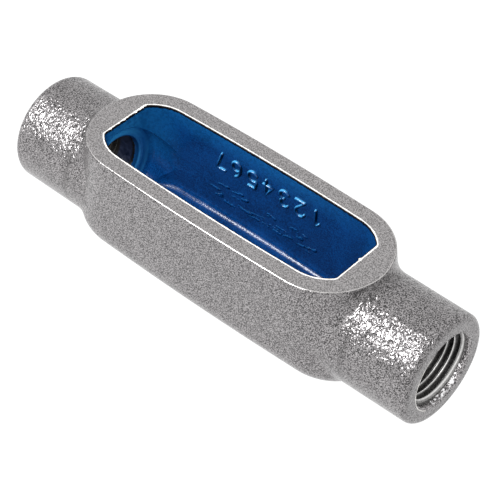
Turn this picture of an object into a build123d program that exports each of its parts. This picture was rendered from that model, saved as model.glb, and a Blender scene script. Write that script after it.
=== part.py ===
import os
from math import isclose, radians, tan

from build123d import *

# Conduit body: one iron casting with a trough-shaped middle, open at the top,
# and a round threaded hub at each end.
# X runs along the hubs, Z points out of the opening, and the base rests on Z = 0.

# Casting, outside
body_length = 93.4         # trough, measured on its rim
hub_length = 20.5          # how far each hub reaches past the rim
hub_diameter = 30.4
side_step = 2.05           # the trough is this much wider than the hubs on each side
rim_step = 2.9             # the rim stands this much higher than the hubs
base_step = 0.6            # the base lies this much lower than the hubs
side_bow = 0.55            # how far the middle of each long side stands out
side_draft = 0.4           # degrees, the long sides close in towards the base
end_spread = 8.2           # degrees, the ends lean out towards the base
base_radius = 8.7          # rounding between the walls and the base
rim_edge_radius = 0.5
hub_draft = 0.4            # degrees, the hubs widen towards the trough
hub_edge_radius = 1.75
root_radius = 4.0          # fillet where the hubs grow out of the trough

# Casting, inside
rim_width = 4.75           # land that the cover sits on, and the walls below it
floor = 6.2
floor_radius = 2.5         # rounding between the hollow's walls and its floor
lip_overhang = 2.8         # how far the lip at each end stands in over the hollow
lip_edge = 1.0             # thickness of a lip at its free edge
lip_slope = 45.0           # degrees, underside of a lip
lip_corner_radius = 1.5    # where a lip meets the long sides of the opening
end_wall = 3.8             # from the rim's end to the flat face round a throat
pocket_step = 0.3          # a pocket is this much narrower than the hollow on each side
pocket_radius = 2.2
throat_diameter = 15.8     # smooth bushing between a hub and the hollow
throat_radius = 1.8        # rounding of its edge, so that it spares the wires

# Machined hub bores
thread_diameter = 21.2     # over the roots of the pipe thread
thread_depth = 16.5
mouth_chamfer = 0.3

# Places that follow from the sizes above
axis_height = base_step + hub_diameter / 2
body_height = axis_height + hub_diameter / 2 + rim_step
body_width = hub_diameter + 2 * side_step
hub_face = body_length / 2 + hub_length
pocket_face = body_length / 2 - end_wall
core_length = body_length - 2 * rim_width
core_width = body_width - 2 * rim_width
core_top = body_height - lip_edge
opening_length = core_length - 2 * lip_overhang
lip_root = core_top - lip_overhang * tan(radians(lip_slope))
pocket_diameter = core_width - 2 * pocket_step


def trough_outline(length, width):
    """Closed line of four tangent arcs: two bowed long sides and two round ends."""
    end_radius = width / 2 - side_bow
    end_centre = length / 2 - end_radius
    side_radius = (end_centre**2 / side_bow + end_radius + width / 2) / 2
    side_centre = width / 2 - side_radius
    reach = side_radius / (side_radius - end_radius)
    corner_x = end_centre * reach
    corner_y = side_centre * (1 - reach)
    with BuildLine() as outline:
        ThreePointArc((-corner_x, corner_y), (0, width / 2), (corner_x, corner_y))
        ThreePointArc((corner_x, corner_y), (length / 2, 0), (corner_x, -corner_y))
        ThreePointArc((corner_x, -corner_y), (0, -width / 2), (-corner_x, -corner_y))
        ThreePointArc((-corner_x, -corner_y), (-length / 2, 0), (-corner_x, corner_y))
    return outline.line


def end_planes(distance):
    """Planes across the hub axis at both ends, facing out, this far from the middle."""
    return [
        Plane(origin=(side * distance, 0, axis_height), x_dir=(0, side, 0), z_dir=(side, 0, 0))
        for side in (1, -1)
    ]


def circles_at(part, distance, radius):
    """Circular edges of this radius that lie this far from the middle along X."""
    return part.edges().filter_by(GeomType.CIRCLE).filter_by(
        lambda edge: isclose(abs(edge.arc_center.X), distance, abs_tol=0.001)
        and isclose(edge.radius, radius, abs_tol=0.001)
    )


# Everything that is hollow in the raw casting. The trough is as wide as the
# opening, a lip stands in at each end of it, and its ends are round pockets that
# lead into the throats.
with BuildPart() as core:
    with BuildSketch(Plane.YZ):
        with Locations((0, axis_height)):
            Circle(pocket_diameter / 2)
    extrude(amount=pocket_face, both=True)
    fillet(core.edges().filter_by(GeomType.CIRCLE), pocket_radius)

    with BuildSketch(Plane.XY.offset(floor)):
        add(trough_outline(core_length, core_width))
        make_face()
    extrude(amount=core_top - floor)

    with BuildSketch(Plane.XZ):
        with BuildLine():
            Polyline(
                (opening_length / 2, core_top),
                (core_length / 2, lip_root),
                (core_length / 2, core_top),
                close=True,
            )
        make_face()
        mirror(about=Plane.YZ)
    extrude(amount=core_width, both=True, mode=Mode.SUBTRACT)

    with BuildSketch(Plane.XY.offset(core_top)) as opening:
        add(trough_outline(core_length, core_width))
        make_face()
        Rectangle(opening_length, core_width, mode=Mode.INTERSECT)
        corners = opening.vertices().group_by(Axis.X)
        fillet(corners[0] + corners[-1], lip_corner_radius)
    extrude(amount=lip_edge)

    split(bisect_by=Plane.XY.offset(floor), keep=Keep.TOP)
    fillet(core.faces().sort_by(Axis.Z)[0].edges(), floor_radius)

# The casting: trough, hubs and hollow, then the bores machined into the hubs
with BuildPart() as conduit_body:
    for height in (0, body_height + root_radius):
        depth = body_height - height
        length = body_length + 2 * depth * tan(radians(end_spread))
        width = body_width - 2 * depth * tan(radians(side_draft))
        with BuildSketch(Plane.XY.offset(height)):
            add(trough_outline(length, width))
            make_face()
    loft()
    fillet(conduit_body.faces().sort_by(Axis.Z)[0].edges(), base_radius)

    with BuildSketch(*end_planes(hub_face)):
        Circle(hub_diameter / 2)
    extrude(amount=-hub_face, taper=-hub_draft)
    roots = conduit_body.edges(Select.LAST).filter_by(GeomType.BSPLINE)
    fillet(roots, root_radius)
    split(bisect_by=Plane.XY.offset(body_height), keep=Keep.BOTTOM)
    fillet(conduit_body.faces().sort_by(Axis.Z)[-1].edges(), rim_edge_radius)
    fillet(circles_at(conduit_body, hub_face, hub_diameter / 2), hub_edge_radius)

    add(core.part, mode=Mode.SUBTRACT)
    with Locations(*end_planes(hub_face)):
        CounterBoreHole(throat_diameter / 2, thread_diameter / 2, thread_depth, hub_face)
    fillet(circles_at(conduit_body, pocket_face, throat_diameter / 2), throat_radius)
    chamfer(circles_at(conduit_body, hub_face, thread_diameter / 2), mouth_chamfer)

conduit_body.part.label = "conduit_body"
os.makedirs("parts", exist_ok=True)
export_step(conduit_body.part, "parts/conduit_body.step")
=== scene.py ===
from functools import cached_property
from math import ceil, cos, hypot, radians, sin, tau
from random import Random

import bmesh
import bpy
from mathutils import Matrix, Vector, noise
from mathutils.bvhtree import BVHTree


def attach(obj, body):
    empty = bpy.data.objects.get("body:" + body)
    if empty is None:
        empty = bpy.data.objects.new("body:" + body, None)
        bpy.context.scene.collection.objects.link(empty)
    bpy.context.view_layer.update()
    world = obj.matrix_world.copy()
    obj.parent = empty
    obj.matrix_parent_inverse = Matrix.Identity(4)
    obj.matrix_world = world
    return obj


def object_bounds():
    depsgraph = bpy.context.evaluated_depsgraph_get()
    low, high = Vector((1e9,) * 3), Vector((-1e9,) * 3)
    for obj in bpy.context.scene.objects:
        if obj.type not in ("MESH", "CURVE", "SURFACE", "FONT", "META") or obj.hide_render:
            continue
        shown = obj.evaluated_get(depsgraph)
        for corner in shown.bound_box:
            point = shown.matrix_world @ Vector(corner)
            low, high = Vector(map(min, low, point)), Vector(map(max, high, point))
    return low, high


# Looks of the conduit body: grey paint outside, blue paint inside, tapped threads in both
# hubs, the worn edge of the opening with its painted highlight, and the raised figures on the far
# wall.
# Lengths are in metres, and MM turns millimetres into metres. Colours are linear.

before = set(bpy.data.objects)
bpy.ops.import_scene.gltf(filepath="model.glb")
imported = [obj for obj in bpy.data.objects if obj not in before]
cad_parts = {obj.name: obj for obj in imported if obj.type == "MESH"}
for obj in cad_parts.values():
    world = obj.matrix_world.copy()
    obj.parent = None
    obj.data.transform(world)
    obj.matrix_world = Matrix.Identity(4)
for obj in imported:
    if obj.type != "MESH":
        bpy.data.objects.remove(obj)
cad_low, cad_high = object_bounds()
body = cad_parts["conduit_body"]

MM = 0.001
UP = (0, 0, 1)

# Places on the casting, as heights or as distances from its middle along X
rim_height = cad_high.z
axis_height = rim_height - 18.1 * MM
hollow_middle = 30.0 * MM          # the hollow's walls face this stretch of the axis
hollow_end = 42.0 * MM             # behind it, the wall curves in to the throat
throat_start = 44.3 * MM
rim_end = 46.7 * MM                # beyond it, only the hubs go on
hub_face = cad_high.x
throat_radius = 7.9 * MM
bore_radius = 10.6 * MM
bore_depth = 16.5 * MM
mouth_chamfer = 0.3 * MM
throat_end = hub_face - bore_depth

# Pipe thread
thread_pitch = 25.4 / 14 * MM
thread_height = 1.44 * MM
thread_taper = 1 / 32              # radius lost for each unit of depth
thread_start = 1.75 * MM           # depth at which the first ridge rises
thread_shift = 0.63                # turns by which the ridges are moved deeper
wall_gap = 0.03 * MM               # between the sleeve of ridges and the bore's wall
end_gap = 0.01 * MM                # the same at the sleeve's closed ends

# Raised figures on the far wall of the hollow
figure_height = 5.2 * MM
figure_pitch = 5.45 * MM
figure_feet = 27.6 * MM            # the figures stand on their heads
stroke_half_width = 0.46 * MM
stroke_rise = 0.66 * MM

# Wrinkles in the paint below the figures
wrinkle_count = 30
wrinkle_steps = 8
wrinkle_half_width = 0.34 * MM
wrinkle_rise = 0.22 * MM
wrinkle_span = (-19, 16)           # along X, in millimetres
wrinkle_heights = (11.2, 16.8)     # in millimetres
wrinkle_lengths = (1.0, 3.6)       # in millimetres

# Studio
world_strength = 0.86
floor_reach = 3.0
floor_glow = 0.88
key_direction = Vector((-0.31, -0.55, 0.69)).normalized()
key_distance = 0.9
key_size = 0.42
key_power = 10.6                   # watts

# Camera, fitted to the outline of the object in the photograph
image_width = 500
camera_azimuth = radians(42.03)
camera_elevation = radians(43.94)
camera_roll = radians(0.42)
camera_distance = 451.25 * MM
focal_length = 1754.73             # in pixels
aim_pixel = (235.81, 239.41)       # where the middle of the hub axis shows


def ramp(value, start, end):
    """Rises from 0 at start to 1 at end, and stays within them."""
    return max(0.0, min(1.0, (value - start) / (end - start)))


class Surface:
    """A material in the making. Most methods add a node and return the value it gives."""

    def __init__(self, name):
        self.material = bpy.data.materials.new(name)
        self.material.use_nodes = True
        self.tree = self.material.node_tree

    def connect(self, socket, value):
        """Links a socket to another one, or sets it to a number or a colour."""
        if isinstance(value, bpy.types.NodeSocket):
            self.tree.links.new(value, socket)
        else:
            socket.default_value = value

    def add(self, kind, inputs, **settings):
        """A node of this kind, with its settings and inputs."""
        node = self.tree.nodes.new(kind)
        for key, value in settings.items():
            setattr(node, key, value)
        for key, value in inputs.items():
            self.connect(node.inputs[key], value)
        return node

    @cached_property
    def where(self):
        """Position in the row frame, in metres."""
        return self.add("ShaderNodeTexCoord", {}).outputs["Object"]

    @cached_property
    def place(self):
        """The position's X, Y and Z."""
        return self.add("ShaderNodeSeparateXYZ", {"Vector": self.where}).outputs

    @cached_property
    def reach(self):
        """Distance from the casting's middle along X."""
        return self.absolute(self.place["X"])

    def facing(self, direction):
        """How far the surface faces this way, from -1 to 1."""
        normal = self.add("ShaderNodeTexCoord", {}).outputs["Normal"]
        inputs = {0: normal, 1: direction}
        return self.add("ShaderNodeVectorMath", inputs, operation="DOT_PRODUCT").outputs["Value"]

    def noise(self, scale, detail=2.0, roughness=0.5, distortion=0.0, where=None):
        """Noise from about 0 to 1, whose patches are about 1 / scale metres across."""
        inputs = {"Vector": self.where if where is None else where, "Scale": scale,
                  "Detail": detail, "Roughness": roughness, "Distortion": distortion}
        return self.add("ShaderNodeTexNoise", inputs).outputs["Fac"]

    def remap(self, value, low, high, new_low=0.0, new_high=1.0):
        """Maps low..high to new_low..new_high, with no value outside them."""
        inputs = {"Value": value, "From Min": low, "From Max": high, "To Min": new_low,
                  "To Max": new_high}
        return self.add("ShaderNodeMapRange", inputs).outputs["Result"]

    def calculate(self, operation, first, second=0.0):
        """One step of arithmetic."""
        inputs = {0: first, 1: second}
        return self.add("ShaderNodeMath", inputs, operation=operation).outputs["Value"]

    def absolute(self, value):
        """The value without its sign."""
        return self.calculate("ABSOLUTE", value)

    def larger(self, first, second):
        """The larger of two values."""
        return self.calculate("MAXIMUM", first, second)

    def total(self, first, *others):
        """All values added."""
        for value in others:
            first = self.calculate("ADD", first, value)
        return first

    def product(self, first, *others):
        """All values multiplied."""
        for value in others:
            first = self.calculate("MULTIPLY", first, value)
        return first

    def sway(self, value, share):
        """How far a value is from a half, times this share."""
        inputs = {0: value, 1: share, 2: -0.5 * share}
        return self.add("ShaderNodeMath", inputs, operation="MULTIPLY_ADD").outputs["Value"]

    def mix(self, factor, first, second):
        """Colour between first and second."""
        node = self.add("ShaderNodeMix", {}, data_type="RGBA")
        sockets = {socket.name: socket for socket in node.inputs if socket.enabled}
        self.connect(sockets["Factor"], factor)
        for key, value in (("A", first), ("B", second)):
            self.connect(sockets[key], (*value, 1) if isinstance(value, tuple) else value)
        return next(socket for socket in node.outputs if socket.enabled)

    def bumps(self, *layers):
        """Normal of the surface under layers of bumps: height map, depth and strength."""
        below = {}
        for height, depth, strength in layers:
            inputs = {"Height": height, "Distance": depth, "Strength": strength, **below}
            below = {"Normal": self.add("ShaderNodeBump", inputs).outputs["Normal"]}
        return below["Normal"]

    def finish(self, inputs):
        """Gives the shader its inputs, and returns the material."""
        shader = self.tree.nodes["Principled BSDF"]
        for key, value in inputs.items():
            self.connect(shader.inputs[key], value)
        return self.material


def rim_wear_and_highlight(paint):
    """One on the rounded outer edge of the rim: where the paint is rubbed thin, and a painted
    highlight on the tilt that catches the key light.
    """
    upward = paint.facing(UP)
    band = paint.remap(paint.place["Z"], rim_height - 0.42 * MM, rim_height - 0.25 * MM)
    tilted = paint.product(paint.remap(upward, 0.96, 0.92), paint.remap(upward, 0.76, 0.86))
    along = paint.remap(paint.place["X"], -44 * MM, -34 * MM)
    patches = paint.remap(paint.noise(420, detail=3), 0.3, 0.5, 0.7, 1)
    return paint.product(band, tilted, along, patches)


def grey_paint(name, gain):
    """Satin grey paint with an orange-peel surface, over a sand casting."""
    paint = Surface(name)
    upward = paint.facing(UP)
    # The orange peel is coarser on top of the hubs, where its hollows also get painted shade and its
    # tops painted light
    coarse_and_shaded = paint.product(
        paint.remap(paint.reach, rim_end - 2.7 * MM, rim_end + 0.3 * MM),
        paint.remap(upward, 0.3, 0.65),
        paint.remap(upward, 0.99, 0.91),
    )
    stretched = paint.add("ShaderNodeMapping", {"Vector": paint.where, "Scale": (1.4, 0.85, 0.85)})
    turned = paint.add("ShaderNodeMapping", {"Vector": paint.where, "Rotation": (0.6, 0.5, 0.4)})
    patches = paint.noise(90, detail=3)
    waves = paint.noise(170)
    peel = paint.noise(960, detail=0, distortion=1.0, where=stretched.outputs["Vector"])
    grain = paint.noise(3300, detail=1, where=turned.outputs["Vector"])

    # Grain of dark and light specks
    dark = (0.046 * gain, 0.044 * gain, 0.045 * gain)
    light = (0.392 * gain, 0.376 * gain, 0.380 * gain)
    # Painted shade and light: on top of the hubs the peel's hollows are darker and its tops lighter
    peel_painted_shade = paint.product(paint.sway(peel, 1.0), paint.remap(coarse_and_shaded, 0, 1, 0, 0.28))
    tone = paint.total(paint.sway(patches, 0.02), paint.sway(grain, 1.0), peel_painted_shade)
    colour = paint.mix(paint.remap(tone, -0.11, 0.11), dark, light)

    # Painted shade: the faces that look along X, the hubs' faces among them, and the roots of the
    # hubs are darker; the ground rim is lighter
    ends = paint.remap(paint.absolute(paint.facing((1, 0, 0))), 0.6, 1, 0, 0.3)
    colour = paint.mix(ends, colour, (0.13, 0.127, 0.128))
    # Painted shade in the valley where each hub meets the body
    root = paint.product(
        paint.remap(paint.reach, rim_end - 0.4 * MM, rim_end + 0.3 * MM),
        paint.remap(paint.reach, rim_end + 2.8 * MM, rim_end + 0.5 * MM, 0, 0.32),
    )
    colour = paint.mix(root, colour, (0.05, 0.048, 0.047))
    land = paint.remap(paint.place["Z"], rim_height - 0.2 * MM, rim_height - 0.05 * MM)
    colour = paint.mix(paint.remap(land, 0, 1, 0, 0.2), colour, (0.66, 0.64, 0.635))
    # Lighter rim edge: rubbed paint, and a painted highlight
    wear_and_highlight = rim_wear_and_highlight(paint)
    colour = paint.mix(wear_and_highlight, colour, (0.66, 0.64, 0.63))

    # The bumps are weak where the surface is worn or ground, and under the painted highlight on the
    # rim's edge
    even = paint.larger(paint.remap(wear_and_highlight, 0, 0.3), land)
    calm = paint.remap(even, 0, 1, 1, 0.15)
    deep = paint.product(calm, paint.remap(coarse_and_shaded, 0, 1, 0.3, 1))
    return paint.finish({
        "Base Color": colour,
        "Roughness": paint.remap(grain, 0.3, 0.7, 0.19, 0.27),
        "Metallic": 0.78,
        "Normal": paint.bumps(
            (waves, 0.10 * MM, 1),
            (peel, 0.40 * MM, deep),
            (grain, 0.008 * MM, calm),
        ),
    })


def throat_ring_highlights(paint, colour, mottle):
    """Colour with painted highlights and painted light round the mouth of each throat."""
    height = paint.calculate("SUBTRACT", paint.place["Z"], axis_height)
    across = paint.add("ShaderNodeCombineXYZ", {"X": paint.place["Y"], "Y": height})
    inputs = {0: across.outputs["Vector"]}
    radius = paint.add("ShaderNodeVectorMath", inputs, operation="LENGTH").outputs["Value"]
    at_end = paint.remap(paint.reach, hollow_end + 0.3 * MM, hollow_end + 0.8 * MM, 0, 0.5)
    # Painted highlights: two thin rings, where the rounded edge begins and halfway down it
    for middle in (throat_radius + 1.5 * MM, throat_radius + 0.9 * MM):
        away = paint.absolute(paint.calculate("SUBTRACT", radius, middle))
        ring = paint.product(
            paint.remap(away, 0.1 * MM, 0.35 * MM, 1, 0),
            at_end,
            paint.remap(mottle, 0.3, 0.6, 0.3, 1),
        )
        colour = paint.mix(ring, colour, (0.13, 0.42, 0.80))
    # Painted light: all of the rounded edge is lighter, most of all at its top, but dark at its
    # inside
    colour = paint.mix(at_end, colour, (0.04, 0.34, 0.78))
    top = paint.product(at_end, paint.remap(paint.place["Z"], 19 * MM, 25 * MM, 0, 1.5))
    colour = paint.mix(top, colour, (0.07, 0.55, 1.0))
    inner = paint.remap(radius, throat_radius + 0.8 * MM, throat_radius + 0.45 * MM, 0, 1.8)
    return paint.mix(paint.product(at_end, inner), colour, (0.001, 0.020, 0.085))


def blue_paint(name, lift=0.0, lit=0.0, shade=0.0, gloss=0.5):
    """Gloss blue paint with soft waves, and painted light that makes it lighter near the ends and
    the rim.

    Lift raises that painted light over all of it, and lit and shade paint light and shade on the
    sides of raised strokes.
    """
    paint = Surface(name)
    x, z = paint.place["X"], paint.place["Z"]
    patches = paint.noise(140, detail=3)
    waves = paint.noise(240, distortion=0.6)
    mottle = paint.noise(1100, detail=3, roughness=0.6)
    speck = paint.noise(3000, detail=1)

    # Mottled blue
    tone = paint.total(paint.sway(patches, 0.4), paint.sway(mottle, 0.35), paint.sway(speck, 0.9))
    colour = paint.mix(paint.remap(tone, -0.16, 0.16), (0.001, 0.018, 0.080), (0.002, 0.045, 0.182))
    # Painted light: lighter towards both ends and the rim, less low down and less at the right
    thin = paint.total(
        paint.remap(paint.reach, hollow_middle, hollow_end, lift, 0.8),
        paint.remap(paint.reach, hollow_end - 0.2 * MM, hollow_end + 0.6 * MM, 0, 0.45),
    )
    thin = paint.product(thin, paint.remap(z, 11 * MM, 23 * MM, 0.05, 1))
    thin = paint.larger(thin, paint.remap(z, rim_height - 7 * MM, rim_height, 0, 0.45))
    thin = paint.product(
        thin,
        paint.remap(mottle, 0.35, 0.65, 0.6, 1),
        paint.remap(x, 12 * MM, 32 * MM, 1, 0.3),
    )
    colour = paint.mix(thin, colour, (0.012, 0.17, 0.46))
    # Painted light: lighter end walls above the throats
    painted_light_above_throat = paint.product(
        paint.remap(paint.reach, hollow_end - 2.2 * MM, hollow_end - 0.4 * MM),
        paint.remap(z, 22 * MM, 27 * MM),
        paint.remap(mottle, 0.35, 0.65, 0.35, 1),
    )
    colour = paint.mix(painted_light_above_throat, colour, (0.03, 0.30, 0.68))
    colour = throat_ring_highlights(paint, colour, mottle)
    if shade > 0:
        # Painted light and shade: raised strokes are lighter on the side that faces up and towards
        # -X, darker on the other
        toward_painted_light = paint.facing((-0.6, 0, 0.8))
        colour = paint.mix(paint.remap(toward_painted_light, 0.35, 0.8, 0, lit), colour, (0.09, 0.50, 0.90))
        colour = paint.mix(paint.remap(toward_painted_light, 0.1, -0.4, 0, shade), colour, (0.0, 0.004, 0.02))

    return paint.finish({
        "Base Color": colour,
        "Roughness": paint.total(
            paint.remap(patches, 0.3, 0.7, 0.09, 0.17),
            paint.remap(paint.facing(UP), 0.86, 0.95, 0, 0.4),
        ),
        "Specular IOR Level": gloss,
        "Normal": paint.bumps(
            (waves, 0.04 * MM, 1),
            (mottle, 0.05 * MM, 1),
            (speck, 0.012 * MM, 1),
        ),
    })


def shaded_throat_paint():
    """Thin, dark paint inside the throats, made nearly black as painted shade, with a darker band at
    each end of them.
    """
    paint = Surface("shaded_throat_paint")
    patches = paint.noise(900, detail=3, roughness=0.6)
    dark, light = (0.0025, 0.0045, 0.013), (0.008, 0.0125, 0.031)
    colour = paint.mix(paint.remap(patches, 0.35, 0.65), dark, light)
    near_band = paint.remap(paint.reach, throat_start + 0.6 * MM, throat_start + 1.0 * MM, 1, 0)
    far_band = paint.remap(paint.reach, throat_end - 1.1 * MM, throat_end - 0.7 * MM)
    colour = paint.mix(paint.larger(near_band, far_band), colour, (0.003, 0.0025, 0.003))
    return paint.finish({
        "Base Color": colour,
        "Roughness": paint.remap(patches, 0.3, 0.7, 0.25, 0.5),
        "Specular IOR Level": 0.2,
        "Normal": paint.bumps((patches, 0.03 * MM, 1)),
    })


def machined_iron():
    """Bare iron, cut by the tap: bright on the thread's crests, dark and chipped elsewhere, the dark
    partly oxide and partly painted shade.
    """
    iron = Surface("machined_iron")
    crest = iron.add("ShaderNodeAttribute", {}, attribute_name="crest").outputs["Fac"]
    patches = iron.noise(1500, detail=3, roughness=0.65)
    dark = iron.mix(iron.remap(patches, 0.45, 0.65), (0.003, 0.003, 0.0035), (0.045, 0.044, 0.043))
    # Lighter chips on faces that look up: chipped iron, and painted light from above
    chips_and_top_light = iron.product(
        iron.remap(iron.noise(2600, detail=1), 0.42, 0.62, 0, 0.8),
        iron.remap(iron.facing(UP), 0.1, 0.7),
    )
    dark = iron.mix(chips_and_top_light, dark, (0.17, 0.165, 0.16))
    light = iron.mix(iron.remap(patches, 0.3, 0.7), (0.62, 0.61, 0.60), (0.92, 0.91, 0.90))
    return iron.finish({
        "Base Color": iron.mix(crest, dark, light),
        "Roughness": iron.remap(patches, 0.3, 0.7, 0.5, 0.32),
        "Metallic": 0.2,
        "Normal": iron.bumps((iron.noise(2400, detail=3), 0.05 * MM, 1)),
    })


def worn_edge_and_highlight(name, dark, light):
    """Bright bare metal, where the paint is worn thin along an edge, and as a painted highlight."""
    metal = Surface(name)
    patches = metal.noise(1500)
    return metal.finish({
        "Base Color": metal.mix(metal.remap(patches, 0.3, 0.7), dark, light),
        "Roughness": metal.remap(patches, 0.3, 0.7, 0.3, 0.5),
    })


materials = {
    "grey": grey_paint("grey_paint", 1.0),
    # The hubs' mouths get the same grey paint made 1.4 times lighter, painted light for the shade
    # inside the bores
    "mouth": grey_paint("lightened_mouth_paint", 1.4),
    "blue": blue_paint("blue_paint"),
    "throat": shaded_throat_paint(),
    "settled": blue_paint("settled_paint", gloss=0.08),
    # Copies of the blue paint with painted light and shade on the figures and the wrinkles
    "figures": blue_paint("figure_paint_lit_and_shaded", lift=0.15, lit=0.63, shade=1.0),
    "runs": blue_paint("run_paint_lit_and_shaded", lit=0.08, shade=0.9, gloss=0.03),
    "iron": machined_iron(),
    "edge": worn_edge_and_highlight("worn_edge_and_highlight", (0.72, 0.69, 0.64), (0.97, 0.96, 0.94)),
    "fleck": worn_edge_and_highlight("painted_glint", (0.40, 0.39, 0.39), (0.93, 0.93, 0.94)),
}


def surface_of(polygon):
    """The material of the surface of the casting that a polygon lies on."""
    centre = polygon.center
    radius = hypot(centre.y, centre.z - axis_height)
    reach = abs(centre.x)
    slack = 0.05 * MM
    if radius < bore_radius + mouth_chamfer + slack:
        if reach > hub_face - mouth_chamfer and radius > bore_radius - slack:
            return "mouth"
        if reach > throat_end - slack:
            return "iron"
    along = max(-hollow_middle, min(hollow_middle, centre.x))
    outward = centre - Vector((along, 0, axis_height))
    if polygon.normal.dot(outward) > 0:
        return "grey"
    if reach > throat_start:
        return "throat"
    nearly_level = 0.93
    return "settled" if polygon.normal.z > nearly_level else "blue"


def paint_casting():
    """Gives each polygon of the casting its material."""
    mesh = body.data
    order = ["grey", "blue", "iron", "mouth", "throat", "settled"]
    mesh.materials.clear()
    for name in order:
        mesh.materials.append(materials[name])
    for polygon in mesh.polygons:
        polygon.material_index = order.index(surface_of(polygon))


def make_camera():
    """Camera at the photograph's viewing angle."""
    data = bpy.data.cameras.new("camera")
    camera = bpy.data.objects.new("camera", data)
    bpy.context.scene.collection.objects.link(camera)
    back = Vector((
        sin(camera_azimuth) * cos(camera_elevation),
        -cos(camera_azimuth) * cos(camera_elevation),
        sin(camera_elevation),
    ))
    level = Vector((cos(camera_azimuth), sin(camera_azimuth), 0))
    upright = back.cross(level)
    right = cos(camera_roll) * level + sin(camera_roll) * upright
    up = cos(camera_roll) * upright - sin(camera_roll) * level
    turn = Matrix((right, up, back)).transposed()
    place = Vector((0, 0, axis_height)) + back * camera_distance
    camera.matrix_world = Matrix.Translation(place) @ turn.to_4x4()
    data.sensor_width = 36
    data.lens = focal_length / image_width * data.sensor_width
    data.shift_x = (image_width / 2 - aim_pixel[0]) / image_width
    data.shift_y = (aim_pixel[1] - image_width / 2) / image_width
    data.clip_start = 0.01
    data.clip_end = 20
    bpy.context.scene.camera = camera


def make_floor():
    """Pale glowing floor, as on a light table."""
    mesh = bpy.data.meshes.new("floor")
    corners = [(-1, -1), (1, -1), (1, 1), (-1, 1)]
    mesh.from_pydata([(x * floor_reach, y * floor_reach, 0) for x, y in corners], [], [(0, 1, 2, 3)])
    glowing = Surface("floor").finish({
        "Base Color": (0.15, 0.15, 0.15, 1),
        "Roughness": 0.9,
        "Specular IOR Level": 0.0,
        "Emission Color": (1, 1, 1, 1),
        "Emission Strength": floor_glow,
    })
    mesh.materials.append(glowing)
    floor = bpy.data.objects.new("floor", mesh)
    bpy.context.scene.collection.objects.link(floor)


def make_lights():
    """Even light all round, and a shadowless softbox up front on the left."""
    world = bpy.data.worlds.new("studio")
    bpy.context.scene.world = world
    world.use_nodes = True
    background = world.node_tree.nodes["Background"]
    background.inputs["Color"].default_value = (1, 1, 1, 1)
    background.inputs["Strength"].default_value = world_strength
    data = bpy.data.lights.new("key", "AREA")
    data.shape = "SQUARE"
    data.size = key_size
    data.energy = key_power
    data.use_shadow = False
    lamp = bpy.data.objects.new("key", data)
    bpy.context.scene.collection.objects.link(lamp)
    lamp.location = Vector((0, 0, axis_height)) + key_direction * key_distance
    lamp.rotation_mode = "QUATERNION"
    lamp.rotation_quaternion = key_direction.to_track_quat("Z", "Y")


def join_rings(built, rings, closed=True):
    """Faces from each ring of corners to the next one, and from the last to the first."""
    following = rings[1:] + rings[:1] if closed else rings[1:]
    for ring, after in zip(rings, following):
        for index in range(len(ring)):
            beside = (index + 1) % len(ring)
            built.faces.new((ring[index], ring[beside], after[beside], after[index]))


def finish_piece(name, built, material, smooth=True):
    """Turns a finished bmesh into a new piece that rides on the casting."""
    bmesh.ops.recalc_face_normals(built, faces=built.faces)
    mesh = bpy.data.meshes.new(name)
    built.to_mesh(mesh)
    built.free()
    for polygon in mesh.polygons:
        polygon.use_smooth = smooth
    piece = bpy.data.objects.new(name, mesh)
    bpy.context.scene.collection.objects.link(piece)
    mesh.materials.append(materials[material])
    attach(piece, "root")
    return piece


def repaint(piece, material, chosen):
    """Gives a second material to the polygons of a piece that pass a test."""
    piece.data.materials.append(materials[material])
    for polygon in piece.data.polygons:
        if chosen(polygon):
            polygon.material_index = 1


def ridge_at(depth, turn):
    """Height of the thread's ridge, from 0 to 1, at this depth and this part of a turn."""
    flat_root = 0.0264
    crest_start = 0.4664
    phase = (depth / thread_pitch + turn - thread_shift) % 1.0
    return ramp(0.5 - abs(phase - 0.5), flat_root, crest_start)


def cap_thread(built, side, depth, outward, crest_layer):
    """Cuts the thread off at a depth, closes it towards the bore's wall and returns its edges."""
    tiny = 1e-6
    level = side * (hub_face - depth)
    bmesh.ops.bisect_plane(
        built, geom=built.verts[:] + built.edges[:] + built.faces[:], dist=tiny / 10,
        plane_co=(level, 0, 0), plane_no=(side * outward, 0, 0), clear_outer=True)
    rim = [edge for edge in built.edges if edge.is_boundary
           and all(abs(corner.co.x - level) < tiny for corner in edge.verts)]
    grown = bmesh.ops.extrude_edge_only(built, edges=rim)["geom"]
    for corner in grown:
        if isinstance(corner, bmesh.types.BMVert):
            offset = Vector((corner.co.y, corner.co.z - axis_height))
            offset *= (bore_radius - end_gap) / offset.length
            corner.co.y, corner.co.z = offset.x, axis_height + offset.y
            corner[crest_layer] = 0.0
    return [edge for edge in grown if isinstance(edge, bmesh.types.BMEdge)]


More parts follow.
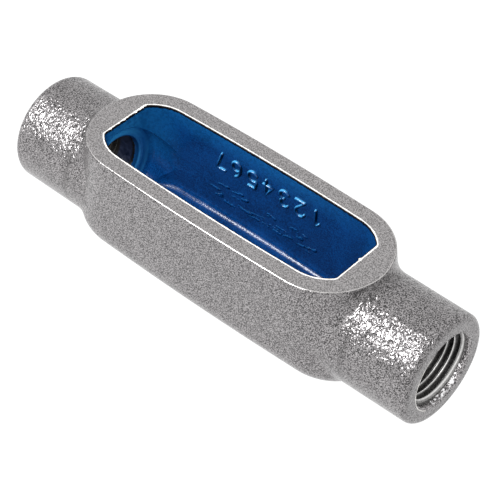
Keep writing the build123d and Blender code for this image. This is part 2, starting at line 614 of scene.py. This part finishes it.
def make_thread(name, side):
    """Tapped thread in one hub, as a closed sleeve that fills the bore's wall."""
    steps_round = 128
    steps_turn = 20
    turns = ceil(bore_depth / thread_pitch) + 1
    built = bmesh.new()
    crest_layer = built.verts.layers.float.new("crest")
    rows = []
    for row in range(turns * steps_turn + 1):
        ring = []
        for step in range(steps_round + 1):
            turn = step / steps_round
            depth = (row / steps_turn - turn) * thread_pitch
            ridge = ridge_at(depth, turn)
            started = ramp(depth, thread_start, thread_start + thread_height / 1.1)
            height = min(ridge, started) * thread_height
            radius = bore_radius - wall_gap - depth * thread_taper - height
            angle = turn * tau
            corner = built.verts.new((side * (hub_face - depth), side * radius * cos(angle),
                                      axis_height + radius * sin(angle)))
            # The crests' brightness fades deeper in the bore as painted shade, and the first ridge's
            # flank gets a weaker painted highlight
            top = ramp(ridge, 0.75, 1.0) * ramp(depth, 12 * MM, 5 * MM)
            first_flank = ramp(ridge, 0.4, 0.55) * ramp(depth, 2.9 * MM, 2.6 * MM)
            corner[crest_layer] = max(top, 0.3 * first_flank) * ramp(height, 0, 0.1 * MM)
            ring.append(corner)
        rows.append(ring)
    for upper, lower in zip(rows, rows[1:]):
        for step in range(steps_round):
            built.faces.new((upper[step], upper[step + 1], lower[step + 1], lower[step]))
    bmesh.ops.remove_doubles(built, verts=built.verts, dist=0.001 * MM)
    edges = cap_thread(built, side, thread_start - 0.15 * MM, 1, crest_layer)
    edges += cap_thread(built, side, bore_depth - 0.02 * MM, -1, crest_layer)
    bmesh.ops.bridge_loops(built, edges=edges)
    finish_piece(name, built, "iron", smooth=False)


def make_mouth_ring(name, side):
    """Rough, painted ring of wall between a hub's face and its thread."""
    steps = 320
    bore = bore_radius / MM
    # Depth below the ring's start and height over the bore's wall, in millimetres
    profile = ((0.08, 0.0), (0.16, 0.14), (0.36, 0.23), (0.6, 0.26), (0.85, 0.27), (1.1, 0.27),
               (1.3, 0.24), (1.44, 0.14), (1.48, 0.0))
    start = 0.2 * MM
    behind_wall = 0.03 * MM
    built = bmesh.new()
    rings = []
    for step in range(steps):
        angle = step / steps * tau
        ring = []
        for depth, height in profile:
            spot = 1.5 * Vector((depth, bore * cos(angle), bore * sin(angle)))
            rough = 0.17 * noise.noise(spot) + 0.10 * noise.noise(spot * 2.2)
            radius = bore_radius - max(0.01, height + rough * min(1.0, height * 8)) * MM
            if height == 0.0:
                radius = bore_radius + behind_wall
            ring.append(built.verts.new((side * (hub_face - depth * MM - start),
                                         radius * cos(angle), axis_height + radius * sin(angle))))
        rings.append(ring)
    join_rings(built, rings)

    def is_painted_glint(polygon):
        """Whether a painted glint goes here, low down and towards +Y."""
        spot = polygon.center / MM
        worn = noise.noise(spot * 1.2) + 0.6 * noise.noise(spot * 3.1)
        low = polygon.center.z < axis_height - 5 * MM
        return low and spot.y > -2.5 and worn > 0.16

    # Painted highlight: bright glints low down towards +Y on the ring
    repaint(finish_piece(name, built, "mouth"), "fleck", is_painted_glint)


def make_mouth_edge(name, side):
    """Thin burr along the edge of a hub's mouth, where the paint has rubbed off, bright on one side
    as a painted highlight.
    """
    steps = 240
    sides = 8
    middle = bore_radius + mouth_chamfer
    built = bmesh.new()
    rings = []
    for step in range(steps):
        angle = step / steps * tau
        spot = Vector((side * 3.0, middle / MM * cos(angle), middle / MM * sin(angle)))
        thick = (0.10 + 0.05 * noise.noise(spot * 0.5) + 0.04 * noise.noise(spot * 2.0)) * MM
        ring = []
        for corner in range(sides):
            turn = corner / sides * tau
            radius = middle + thick * sin(turn)
            ring.append(built.verts.new((side * (hub_face - 0.04 * MM + thick * cos(turn)),
                                         radius * cos(angle), axis_height + radius * sin(angle))))
        rings.append(ring)
    join_rings(built, rings)
    piece = finish_piece(name, built, "mouth")
    # Painted highlight: the bright bare metal goes only on one side of the mouth
    repaint(piece, "edge", lambda polygon: side * polygon.center.y < -6 * MM)


def rim_lines():
    """The two closed lines round the rim's flat land: the opening first, then the outside."""
    mesh = body.data
    tiny = 1e-6
    directed = set()
    for polygon in mesh.polygons:
        if polygon.normal.z > 0.999 and abs(polygon.center.z - rim_height) < tiny:
            corners = [mesh.vertices[index].co for index in polygon.vertices]
            keys = [(round(place.x / tiny), round(place.y / tiny)) for place in corners]
            directed.update(zip(keys, keys[1:] + keys[:1]))
    following = {first: second for first, second in directed if (second, first) not in directed}
    lines = []
    while following:
        start, there = following.popitem()
        line = [start]
        while there != start:
            line.append(there)
            there = following.pop(there)
        lines.append([Vector(key) * tiny for key in line])
    return sorted(lines, key=lambda line: max(point.x for point in line))


def resample(line, spacing):
    """Points at even spacing along a closed line."""
    ends = line[1:] + line[:1]
    lengths = [(second - first).length for first, second in zip(line, ends)]
    count = round(sum(lengths) / spacing)
    step = sum(lengths) / count
    points = []
    passed = 0.0
    for first, second, length in zip(line, ends, lengths):
        while len(points) < count and len(points) * step <= passed + length:
            points.append(first.lerp(second, (len(points) * step - passed) / length))
        passed += length
    return points


def edge_profile(point, end):
    """Outline of the opening's worn edge at a point, as (inward, up) in millimetres.

    End is how far the opening reaches along X. The edge is ragged along its left end
    and at one chipped place near its right end.
    """
    spot = Vector((point.x / MM, point.y / MM, 0.0))
    broad = noise.noise(spot * 0.9)
    fine = noise.noise(spot * 1.7 + Vector((0, 0, 7)))
    width = (0.38 if point.y > 0 else 0.32) + 0.12 * broad + 0.10 * fine
    drop = 1.0 + 0.3 * noise.noise(spot * 1.3 + Vector((0, 0, 19)))
    at_left_end = point.x < 0.1 * MM - end
    at_chip = (point - Vector((end, 0.9 * MM))).length < 1.4 * MM
    ragged = 0.5 if at_chip else 0.34 if at_left_end else 0.08
    over = 0.26 + ragged * max(0.0, 0.2 + broad + 0.9 * fine)
    return (
        (-width, -0.02), (-0.75 * width, 0.03), (-0.05, 0.045), (over - 0.24, 0.02),
        (over, -0.08), (0.6 * over + 0.02, -0.6 * drop), (-0.03, -drop), (-0.12, -0.12),
    )


def make_opening_edge():
    """Bare, ragged edge between the ground land and the painted wall of the opening, bright as worn
    metal and as a painted highlight.
    """
    points = resample(rim_lines()[0], 0.25 * MM)
    end = max(point.x for point in points)
    built = bmesh.new()
    rings = []
    for index, point in enumerate(points):
        ahead = (points[(index + 1) % len(points)] - points[index - 1]).normalized()
        inward = Vector((ahead.y, -ahead.x))
        ring = []
        for across, height in edge_profile(point, end):
            place = point + inward * across * MM
            ring.append(built.verts.new((place.x, place.y, rim_height + height * MM)))
        rings.append(ring)
    join_rings(built, rings)
    sides = len(rings[0])
    under_edge = (3, 4, 5)             # sides of the outline that face the hollow
    piece = finish_piece("opening_edge", built, "edge")
    # Painted shade: the sides that face the hollow take the nearly black throat paint, a dark line
    # under the edge
    repaint(piece, "throat", lambda polygon: polygon.index % sides in under_edge)


def far_wall():
    """A function that finds the hollow's far wall behind a place in the plane of the axis."""
    mesh = body.data
    tree = BVHTree.FromPolygons([corner.co for corner in mesh.vertices],
                                [polygon.vertices for polygon in mesh.polygons])

    def find(x, z):
        """Place on the wall, and its normal towards the hollow."""
        spot, normal, _, _ = tree.ray_cast(Vector((x, 0, z)), Vector((0, 1, 0)))
        return spot, normal if normal.y < 0 else -normal

    return find


def add_bead(built, find, path, half_width, rise, waver=0.0):
    """Raised bead with round ends that follows a path of (x, z) places on the wall."""
    sides = 10
    sunk = 0.12 * MM                   # the bead's foot lies this deep in the wall
    cap = (0.38, 0.7, 0.92)            # stations on a round end, as shares of its radius
    spots = [find(x, z) for x, z in path]
    first_spot, first_normal = spots[0]
    last_spot, last_normal = spots[-1]
    backward = (first_spot - spots[1][0]).normalized()
    forward = (last_spot - spots[-2][0]).normalized()
    stations = []
    for share in reversed(cap):
        size = (1 - share**2)**0.5
        stations.append((first_spot + backward * half_width * share, first_normal, -backward, size))
    for index, (spot, normal) in enumerate(spots):
        before = spots[max(0, index - 1)][0]
        after = spots[min(len(spots) - 1, index + 1)][0]
        size = 1.0 + waver * noise.noise(spot / MM * 0.9)
        stations.append((spot, normal, (after - before).normalized(), size))
    for share in cap:
        size = (1 - share**2)**0.5
        stations.append((last_spot + forward * half_width * share, last_normal, forward, size))
    rings = []
    for spot, normal, ahead, size in stations:
        across = normal.cross(ahead).normalized() * half_width * size
        ring = []
        for step in range(sides):
            angle = step / sides * tau
            height = sin(angle) * (rise * size if sin(angle) > 0 else sunk)
            ring.append(built.verts.new(spot + across * cos(angle) + normal * height))
        rings.append(ring)
    join_rings(built, rings, closed=False)
    built.faces.new(rings[0])
    built.faces.new(rings[-1])


def arc(centre, radius, first, last, steps=14):
    """Points along an arc, with angles in degrees."""
    points = []
    for step in range(steps + 1):
        angle = radians(first + (last - first) * step / steps)
        points.append((centre[0] + radius[0] * cos(angle), centre[1] + radius[1] * sin(angle)))
    return points


# Strokes of plain figures, in a box that is 0.6 wide and 1 high
figures = [
    [[(0.12, 0.78), (0.34, 1.0), (0.34, 0.5), (0.34, 0.0)]],
    [
        arc((0.3, 0.71), (0.28, 0.28), 165, -35) + [(0.2, 0.22), (0.02, 0.0)],
        [(0.02, 0.0), (0.3, 0.0), (0.58, 0.0)],
    ],
    [arc((0.28, 0.75), (0.25, 0.25), 150, -80), arc((0.28, 0.26), (0.29, 0.26), 80, -150)],
    [[(0.44, 0.0), (0.44, 0.5), (0.44, 1.0), (0.2, 0.6), (0.0, 0.32), (0.3, 0.32), (0.6, 0.32)]],
    [
        [(0.54, 1.0), (0.3, 1.0), (0.1, 1.0), (0.07, 0.8), (0.04, 0.56)]
        + arc((0.27, 0.31), (0.3, 0.31), 125, -150),
    ],
    [arc((0.52, 0.42), (0.48, 0.56), 110, 180) + arc((0.3, 0.29), (0.27, 0.29), 160, 500, 22)],
    [[(0.02, 1.0), (0.3, 1.0), (0.58, 1.0), (0.4, 0.55), (0.22, 0.0)]],
]


def make_figures():
    """Raised plain figures on the far wall, heads down."""
    find = far_wall()
    built = bmesh.new()
    middle = (len(figures) - 1) / 2
    for place, strokes in enumerate(figures):
        left = (middle - place) * figure_pitch + 0.3 * figure_height
        for stroke in strokes:
            path = [(left - u * figure_height, figure_feet - v * figure_height) for u, v in stroke]
            add_bead(built, find, path, stroke_half_width, stroke_rise)
    finish_piece("figures", built, "figures")


def make_paint_runs():
    """Short, low wrinkles where the blue paint has sagged below the figures."""
    chance = Random(11)
    find = far_wall()
    built = bmesh.new()
    left, right = wrinkle_span
    lowest, highest = wrinkle_heights
    shortest, longest = wrinkle_lengths
    for index in range(wrinkle_count):
        middle = left + (right - left) * (index + chance.random()) / wrinkle_count
        height = lowest + (highest - lowest) * chance.random()
        length = shortest + (longest - shortest) * chance.random()
        slope = 0.5 * chance.random() - 0.2
        path = []
        for step in range(wrinkle_steps + 1):
            along = length * (step / wrinkle_steps - 0.5)
            spot = Vector((middle + along, height + slope * along, index))
            path.append((spot.x * MM, (spot.y + 0.35 * noise.noise(spot * 1.1)) * MM))
        size = 0.7 + 0.5 * chance.random()
        add_bead(built, find, path, size * wrinkle_half_width, size * wrinkle_rise, waver=1.3)
    finish_piece("paint_runs", built, "runs")


make_camera()
make_floor()
make_lights()
paint_casting()
make_thread("right_thread", 1)
make_thread("left_thread", -1)
make_mouth_ring("right_mouth", 1)
make_mouth_ring("left_mouth", -1)
make_mouth_edge("right_mouth_edge", 1)
make_mouth_edge("left_mouth_edge", -1)
make_opening_edge()
make_figures()
make_paint_runs()

bpy.context.scene.view_settings.view_transform = "Standard"
